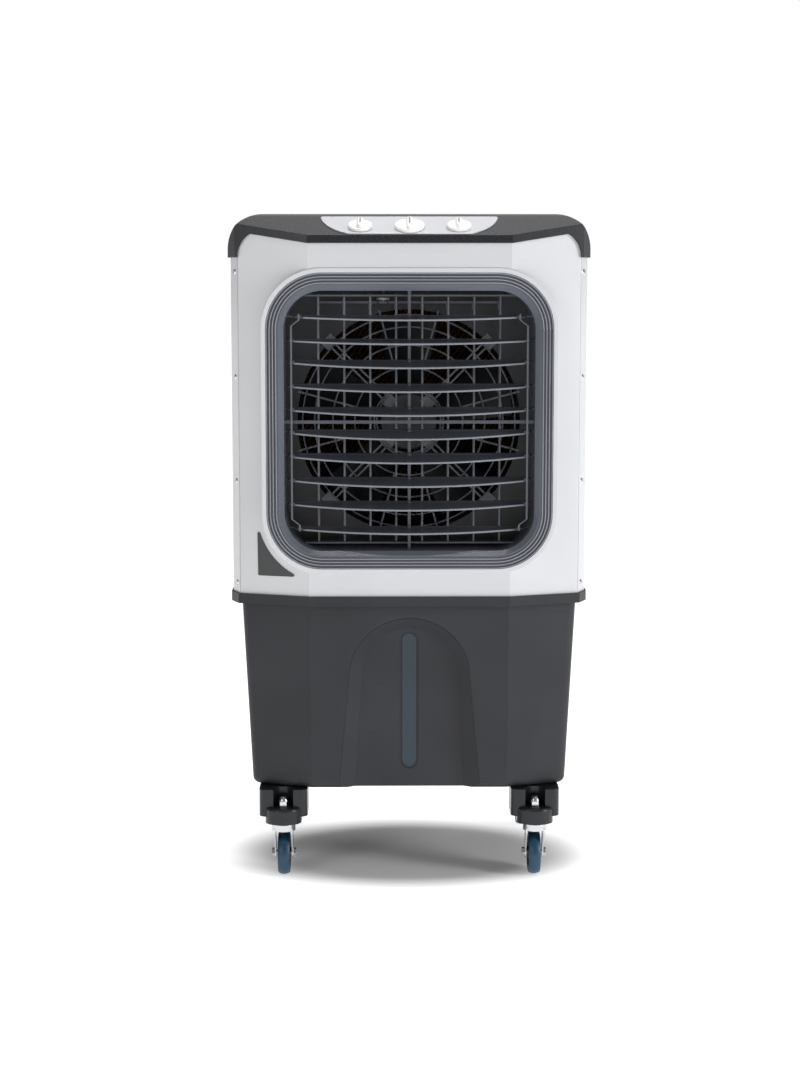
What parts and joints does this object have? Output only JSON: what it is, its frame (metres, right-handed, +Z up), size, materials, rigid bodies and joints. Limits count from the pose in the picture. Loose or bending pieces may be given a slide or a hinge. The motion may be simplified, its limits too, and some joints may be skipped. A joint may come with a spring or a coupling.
{
  "type": "evaporative air cooler",
  "caption": "Wheeled evaporative air cooler: ribbed louvre outlet over a level-window water tank, sloping knob panel on top, swivel casters.",
  "frame": {"origin": "on the floor, under the middle of the machine's overall box", "axes": "+X to the machine's right as seen from its front, +Y to its back, +Z up; the outlet faces -Y"},
  "size_m": [0.612, 0.43, 1.132],
  "materials": {
    "tank_plastic": "satin",
    "window": "gloss",
    "silver_plastic": "satin",
    "dark_trim": "satin",
    "grille_plastic": "satin",
    "louvre_plastic": "satin",
    "vane_plastic": "satin",
    "cover_plastic": "satin",
    "panel_silver": "satin",
    "black_plastic": "matt",
    "fan_plastic": "satin",
    "guard_wire": "satin",
    "motor_metal": "satin",
    "pad_paper": "matt",
    "hose_rubber": "satin",
    "brass": "satin",
    "float_plastic": "satin",
    "screw_steel": "bright",
    "chrome": "polished",
    "knob_white": "satin",
    "wheel_blue": "satin"
  },
  "bodies": {
    "housing": {"tank": "tank_plastic", "level_window": "window", "cabinet": "silver_plastic", "front_fascia": "silver_plastic", "accent_trim": "dark_trim", "grille_bezel": "grille_plastic", "outlet_duct": "grille_plastic", "top_cover": "cover_plastic", "control_panel": "panel_silver", "rotary_switches": "black_plastic", "fan_shroud": "black_plastic", "fan_guard": "guard_wire", "fan_motor": "motor_metal", "cooling_pads": "pad_paper", "water_distributor": "black_plastic", "water_pump": "black_plastic", "water_hose": "hose_rubber", "float_valve": "brass", "side_grilles": "cover_plastic", "cord_gland": "black_plastic", "fascia_screws": "screw_steel", "caster_brackets": "cover_plastic", "caster_bolts": "chrome", "swing_motor": "motor_metal"},
    "louvre_01": {"louvre_01": "louvre_plastic"},
    "louvre_02": {"louvre_02": "louvre_plastic"},
    "louvre_03": {"louvre_03": "louvre_plastic"},
    "louvre_04": {"louvre_04": "louvre_plastic"},
    "louvre_05": {"louvre_05": "louvre_plastic"},
    "louvre_06": {"louvre_06": "louvre_plastic"},
    "louvre_07": {"louvre_07": "louvre_plastic"},
    "louvre_08": {"louvre_08": "louvre_plastic"},
    "louvre_09": {"louvre_09": "louvre_plastic"},
    "louvre_10": {"louvre_10": "louvre_plastic"},
    "louvre_links": {"louvre_links": "grille_plastic"},
    "vane_1": {"vane_1": "vane_plastic"},
    "vane_2": {"vane_2": "vane_plastic"},
    "vane_3": {"vane_3": "vane_plastic"},
    "vane_4": {"vane_4": "vane_plastic"},
    "vane_5": {"vane_5": "vane_plastic"},
    "vane_6": {"vane_6": "vane_plastic"},
    "vane_7": {"vane_7": "vane_plastic"},
    "vane_8": {"vane_8": "vane_plastic"},
    "vane_tie_bar": {"vane_tie_bar": "grille_plastic"},
    "swing_crank": {"swing_crank": "float_plastic"},
    "fan_rotor": {"fan_rotor": "fan_plastic"},
    "knob_left": {"knob_left": "knob_white"},
    "knob_centre": {"knob_centre": "knob_white"},
    "knob_right": {"knob_right": "knob_white"},
    "float_arm": {"float_arm": "float_plastic"},
    "drain_plug": {"drain_plug": "black_plastic"},
    "rear_grille": {"rear_grille": "cover_plastic"},
    "fork_front_left": {"caster_fork_front_left": "chrome"},
    "wheel_front_left": {"caster_wheel_front_left": "wheel_blue"},
    "fork_front_right": {"caster_fork_front_right": "chrome"},
    "wheel_front_right": {"caster_wheel_front_right": "wheel_blue"},
    "fork_rear_left": {"caster_fork_rear_left": "chrome"},
    "wheel_rear_left": {"caster_wheel_rear_left": "wheel_blue"},
    "fork_rear_right": {"caster_fork_rear_right": "chrome"},
    "wheel_rear_right": {"caster_wheel_rear_right": "wheel_blue"}
  },
  "joints": [
    {"name": "louvre_01_tilt", "type": "hinge", "parent": "housing", "child": "louvre_01", "pos_m": [0, -0.17, 0.9611], "axis": [1, 0, 0], "range_deg": [-18, 18]},
    {"name": "louvre_02_tilt", "type": "hinge", "parent": "housing", "child": "louvre_02", "pos_m": [0, -0.17, 0.9214], "axis": [1, 0, 0], "range_deg": [-18, 18]},
    {"name": "louvre_03_tilt", "type": "hinge", "parent": "housing", "child": "louvre_03", "pos_m": [0, -0.17, 0.88569], "axis": [1, 0, 0], "range_deg": [-18, 18]},
    {"name": "louvre_04_tilt", "type": "hinge", "parent": "housing", "child": "louvre_04", "pos_m": [0, -0.17, 0.84567], "axis": [1, 0, 0], "range_deg": [-18, 18]},
    {"name": "louvre_05_tilt", "type": "hinge", "parent": "housing", "child": "louvre_05", "pos_m": [0, -0.17, 0.80629], "axis": [1, 0, 0], "range_deg": [-18, 18]},
    {"name": "louvre_06_tilt", "type": "hinge", "parent": "housing", "child": "louvre_06", "pos_m": [0, -0.17, 0.76823], "axis": [1, 0, 0], "range_deg": [-18, 18]},
    {"name": "louvre_07_tilt", "type": "hinge", "parent": "housing", "child": "louvre_07", "pos_m": [0, -0.17, 0.7282], "axis": [1, 0, 0], "range_deg": [-18, 18]},
    {"name": "louvre_08_tilt", "type": "hinge", "parent": "housing", "child": "louvre_08", "pos_m": [0, -0.17, 0.68785], "axis": [1, 0, 0], "range_deg": [-18, 18]},
    {"name": "louvre_09_tilt", "type": "hinge", "parent": "housing", "child": "louvre_09", "pos_m": [0, -0.17, 0.64716], "axis": [1, 0, 0], "range_deg": [-18, 18]},
    {"name": "louvre_10_tilt", "type": "hinge", "parent": "housing", "child": "louvre_10", "pos_m": [0, -0.17, 0.60447], "axis": [1, 0, 0], "range_deg": [-18, 18]},
    {"name": "louvre_links_swing", "type": "hinge", "parent": "louvre_05", "child": "louvre_links", "pos_m": [0, -0.186, 0.80629], "axis": [1, 0, 0], "range_deg": [-18, 18]},
    {"name": "vane_1_swing", "type": "hinge", "parent": "housing", "child": "vane_1", "pos_m": [-0.154, -0.142, 0.786], "axis": [0, 0, 1], "range_deg": [-28, 28]},
    {"name": "vane_2_swing", "type": "hinge", "parent": "housing", "child": "vane_2", "pos_m": [-0.11, -0.142, 0.786], "axis": [0, 0, 1], "range_deg": [-28, 28]},
    {"name": "vane_3_swing", "type": "hinge", "parent": "housing", "child": "vane_3", "pos_m": [-0.066, -0.142, 0.786], "axis": [0, 0, 1], "range_deg": [-28, 28]},
    {"name": "vane_4_swing", "type": "hinge", "parent": "housing", "child": "vane_4", "pos_m": [-0.022, -0.142, 0.786], "axis": [0, 0, 1], "range_deg": [-28, 28]},
    {"name": "vane_5_swing", "type": "hinge", "parent": "housing", "child": "vane_5", "pos_m": [0.022, -0.142, 0.786], "axis": [0, 0, 1], "range_deg": [-28, 28]},
    {"name": "vane_6_swing", "type": "hinge", "parent": "housing", "child": "vane_6", "pos_m": [0.066, -0.142, 0.786], "axis": [0, 0, 1], "range_deg": [-28, 28]},
    {"name": "vane_7_swing", "type": "hinge", "parent": "housing", "child": "vane_7", "pos_m": [0.11, -0.142, 0.786], "axis": [0, 0, 1], "range_deg": [-28, 28]},
    {"name": "vane_8_swing", "type": "hinge", "parent": "housing", "child": "vane_8", "pos_m": [0.154, -0.142, 0.786], "axis": [0, 0, 1], "range_deg": [-28, 28]},
    {"name": "vane_tie_bar_swing", "type": "hinge", "parent": "vane_4", "child": "vane_tie_bar", "pos_m": [-0.022, -0.122, 0.984], "axis": [0, 0, 1], "range_deg": [-28, 28]},
    {"name": "swing_crank_spin", "type": "hinge", "parent": "housing", "child": "swing_crank", "pos_m": [-0.044, -0.122, 0.99], "axis": [0, 0, 1], "continuous": true},
    {"name": "fan_spin", "type": "hinge", "parent": "housing", "child": "fan_rotor", "pos_m": [0, -0.014, 0.78], "axis": [0, 1, 0], "continuous": true},
    {"name": "knob_left_turn", "type": "hinge", "parent": "housing", "child": "knob_left", "pos_m": [-0.082, -0.1881, 1.10698], "axis": [0, -0.4147, 0.91], "range_deg": [-135, 135]},
    {"name": "knob_centre_turn", "type": "hinge", "parent": "housing", "child": "knob_centre", "pos_m": [0, -0.1881, 1.10698], "axis": [0, -0.4147, 0.91], "range_deg": [-135, 135]},
    {"name": "knob_right_turn", "type": "hinge", "parent": "housing", "child": "knob_right", "pos_m": [0.082, -0.1881, 1.10698], "axis": [0, -0.4147, 0.91], "range_deg": [-135, 135]},
    {"name": "float_arm_swing", "type": "hinge", "parent": "housing", "child": "float_arm", "pos_m": [-0.225, 0.156, 0.404], "axis": [1, 0, 0], "range_deg": [-35, 20]},
    {"name": "drain_plug_pull", "type": "slide", "parent": "housing", "child": "drain_plug", "axis": [0, 1, 0], "range_m": [0, 0.03]},
    {"name": "rear_grille_pull", "type": "slide", "parent": "housing", "child": "rear_grille", "axis": [0, 1, 0], "range_m": [0, 0.1]},
    {"name": "caster_front_left_swivel", "type": "hinge", "parent": "housing", "child": "fork_front_left", "pos_m": [-0.216, -0.186, 0.09], "axis": [0, 0, 1], "continuous": true},
    {"name": "caster_front_left_roll", "type": "hinge", "parent": "fork_front_left", "child": "wheel_front_left", "pos_m": [-0.216, -0.164, 0.0375], "axis": [1, 0, 0], "continuous": true},
    {"name": "caster_front_right_swivel", "type": "hinge", "parent": "housing", "child": "fork_front_right", "pos_m": [0.216, -0.186, 0.09], "axis": [0, 0, 1], "continuous": true},
    {"name": "caster_front_right_roll", "type": "hinge", "parent": "fork_front_right", "child": "wheel_front_right", "pos_m": [0.216, -0.164, 0.0375], "axis": [1, 0, 0], "continuous": true},
    {"name": "caster_rear_left_swivel", "type": "hinge", "parent": "housing", "child": "fork_rear_left", "pos_m": [-0.216, 0.186, 0.09], "axis": [0, 0, 1], "continuous": true},
    {"name": "caster_rear_left_roll", "type": "hinge", "parent": "fork_rear_left", "child": "wheel_rear_left", "pos_m": [-0.216, 0.164, 0.0375], "axis": [1, 0, 0], "continuous": true},
    {"name": "caster_rear_right_swivel", "type": "hinge", "parent": "housing", "child": "fork_rear_right", "pos_m": [0.216, 0.186, 0.09], "axis": [0, 0, 1], "continuous": true},
    {"name": "caster_rear_right_roll", "type": "hinge", "parent": "fork_rear_right", "child": "wheel_rear_right", "pos_m": [0.216, 0.164, 0.0375], "axis": [1, 0, 0], "continuous": true}
  ],
  "couplings": [
    {"joint": "louvre_01_tilt", "follows": "louvre_05_tilt", "ratio": 1},
    {"joint": "louvre_02_tilt", "follows": "louvre_05_tilt", "ratio": 1},
    {"joint": "louvre_03_tilt", "follows": "louvre_05_tilt", "ratio": 1},
    {"joint": "louvre_04_tilt", "follows": "louvre_05_tilt", "ratio": 1},
    {"joint": "louvre_06_tilt", "follows": "louvre_05_tilt", "ratio": 1},
    {"joint": "louvre_07_tilt", "follows": "louvre_05_tilt", "ratio": 1},
    {"joint": "louvre_08_tilt", "follows": "louvre_05_tilt", "ratio": 1},
    {"joint": "louvre_09_tilt", "follows": "louvre_05_tilt", "ratio": 1},
    {"joint": "louvre_10_tilt", "follows": "louvre_05_tilt", "ratio": 1},
    {"joint": "louvre_links_swing", "follows": "louvre_05_tilt", "ratio": -1},
    {"joint": "vane_1_swing", "follows": "vane_4_swing", "ratio": 1},
    {"joint": "vane_2_swing", "follows": "vane_4_swing", "ratio": 1},
    {"joint": "vane_3_swing", "follows": "vane_4_swing", "ratio": 1},
    {"joint": "vane_5_swing", "follows": "vane_4_swing", "ratio": 1},
    {"joint": "vane_6_swing", "follows": "vane_4_swing", "ratio": 1},
    {"joint": "vane_7_swing", "follows": "vane_4_swing", "ratio": 1},
    {"joint": "vane_8_swing", "follows": "vane_4_swing", "ratio": 1},
    {"joint": "vane_tie_bar_swing", "follows": "vane_4_swing", "ratio": -1}
  ]
}
